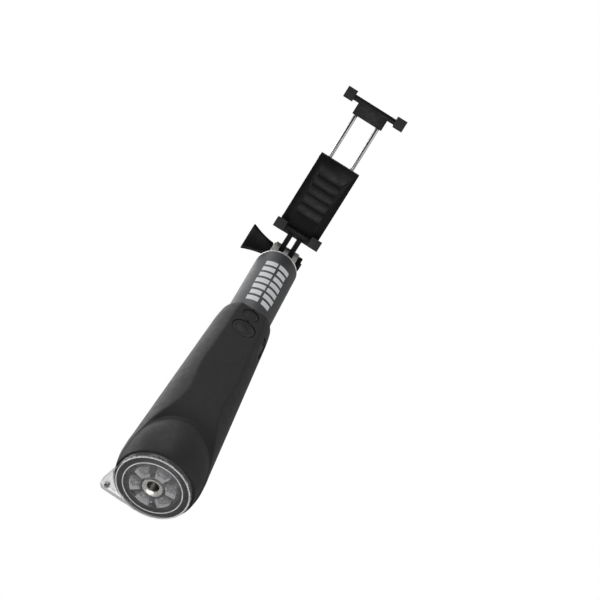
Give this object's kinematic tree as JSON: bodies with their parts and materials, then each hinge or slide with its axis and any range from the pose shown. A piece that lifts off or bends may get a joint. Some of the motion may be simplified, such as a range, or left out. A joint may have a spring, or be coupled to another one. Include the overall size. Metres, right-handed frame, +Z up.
{
  "type": "selfie stick",
  "caption": "Telescopic selfie stick with a rubber grip, two remote buttons, a tilting fork mount and a sprung phone clamp.",
  "frame": {"origin": "centre of the base face, at the mouth of the tripod thread", "axes": "+Z up the stick, -Y to the front (buttons and phone screen), +X to the right seen from the front"},
  "size_m": [0.0438, 0.1136, 0.2642],
  "materials": {
    "clear_cap": "clear moulded plastic",
    "nickel": "bright nickel plate",
    "seal_rubber": "smooth",
    "core_plastic": "moulded",
    "grip_rubber": "soft-touch matte",
    "board": "solder mask",
    "contact_metal": "stamped",
    "cell_wrap": "foil pouch",
    "lead_red": "wire insulation",
    "button_plastic": "fine texture",
    "lens": "clear",
    "gunmetal": "satin metallic paint",
    "tube_metal": "drawn and anodised",
    "lock_plastic": "natural acetal",
    "black_plastic": "satin moulded",
    "screw_steel": "zinc plate",
    "spring_steel": "drawn wire",
    "brass": "turned",
    "pad_rubber": "soft matte"
  },
  "bodies": {
    "handle": {"end_cap": "clear_cap", "tripod_insert": "nickel", "cap_seal": "seal_rubber", "grip_core": "core_plastic", "grip_sleeve": "grip_rubber", "circuit_board": "board", "tact_switches": "contact_metal", "charge_socket": "contact_metal", "battery": "cell_wrap", "battery_leads": "lead_red", "status_lenses": "lens", "outer_tube": "gunmetal", "guide_tube": "tube_metal", "outer_collar": "core_plastic"},
    "port_flap": {"port_cover": "seal_rubber"},
    "power_key": {"power_button": "button_plastic"},
    "shutter_key": {"shutter_button": "button_plastic"},
    "lock_1": {"expander_1": "brass", "collet_1": "lock_plastic"},
    "stage_1": {"tube_1": "tube_metal", "plug_1": "core_plastic", "bush_1": "lock_plastic"},
    "lock_2": {"expander_2": "brass", "collet_2": "lock_plastic"},
    "stage_2": {"tube_2": "tube_metal", "plug_2": "core_plastic", "bush_2": "lock_plastic"},
    "lock_3": {"expander_3": "brass", "collet_3": "lock_plastic"},
    "stage_3": {"tube_3": "tube_metal", "plug_3": "core_plastic", "fork_head": "nickel", "head_rivet": "screw_steel", "nut_cage": "black_plastic", "lock_nut": "screw_steel"},
    "thumb_screw": {"thumb_knob": "black_plastic", "thumb_bolt": "screw_steel", "bolt_washer": "nickel"},
    "clamp": {"lower_jaw": "black_plastic", "clamp_cover": "black_plastic", "cover_screws": "screw_steel", "lower_pads": "pad_rubber", "jaw_springs": "spring_steel"},
    "sliding_jaw": {"upper_jaw": "black_plastic", "upper_pads": "pad_rubber", "guide_rods": "spring_steel", "rod_collars": "brass"}
  },
  "joints": [
    {"name": "power_press", "type": "slide", "parent": "handle", "child": "power_key", "axis": [0, 0.9986, -0.0523], "range_m": [0, 0.0003], "stiffness_N_per_m": 2500, "springref_m": -0.0002},
    {"name": "shutter_press", "type": "slide", "parent": "handle", "child": "shutter_key", "axis": [0, 0.9986, -0.0523], "range_m": [0, 0.0003], "stiffness_N_per_m": 2500, "springref_m": -0.0002},
    {"name": "port_hinge", "type": "hinge", "parent": "handle", "child": "port_flap", "pos_m": [0.01285, -0.00803, 0.108], "axis": [0.5299, 0.848, 0], "range_deg": [0, 60]},
    {"name": "slide_1", "type": "slide", "parent": "handle", "child": "lock_1", "axis": [0, 0, 1], "range_m": [0, 0.118]},
    {"name": "twist_1", "type": "hinge", "parent": "lock_1", "child": "stage_1", "pos_m": [0, 0, 0.1], "axis": [0, 0, 1], "range_deg": [-90, 0]},
    {"name": "slide_2", "type": "slide", "parent": "stage_1", "child": "lock_2", "axis": [0, 0, 1], "range_m": [0, 0.1]},
    {"name": "twist_2", "type": "hinge", "parent": "lock_2", "child": "stage_2", "pos_m": [0, 0, 0.1], "axis": [0, 0, 1], "range_deg": [-90, 0]},
    {"name": "slide_3", "type": "slide", "parent": "stage_2", "child": "lock_3", "axis": [0, 0, 1], "range_m": [0, 0.084]},
    {"name": "twist_3", "type": "hinge", "parent": "lock_3", "child": "stage_3", "pos_m": [0, 0, 0.1], "axis": [0, 0, 1], "range_deg": [-90, 0]},
    {"name": "tilt", "type": "hinge", "parent": "stage_3", "child": "clamp", "pos_m": [0, 0, 0.208], "axis": [1, 0, 0], "range_deg": [-148, 40]},
    {"name": "jaw_slide", "type": "slide", "parent": "clamp", "child": "sliding_jaw", "axis": [0, -0.8902, 0.4555], "range_m": [-0.0205, 0.009], "stiffness_N_per_m": 120, "springref_m": -0.0205, "deforming": ["jaw_springs"]},
    {"name": "thumb_turn", "type": "hinge", "parent": "stage_3", "child": "thumb_screw", "pos_m": [0, 0, 0.208], "axis": [1, 0, 0], "continuous": true}
  ]
}
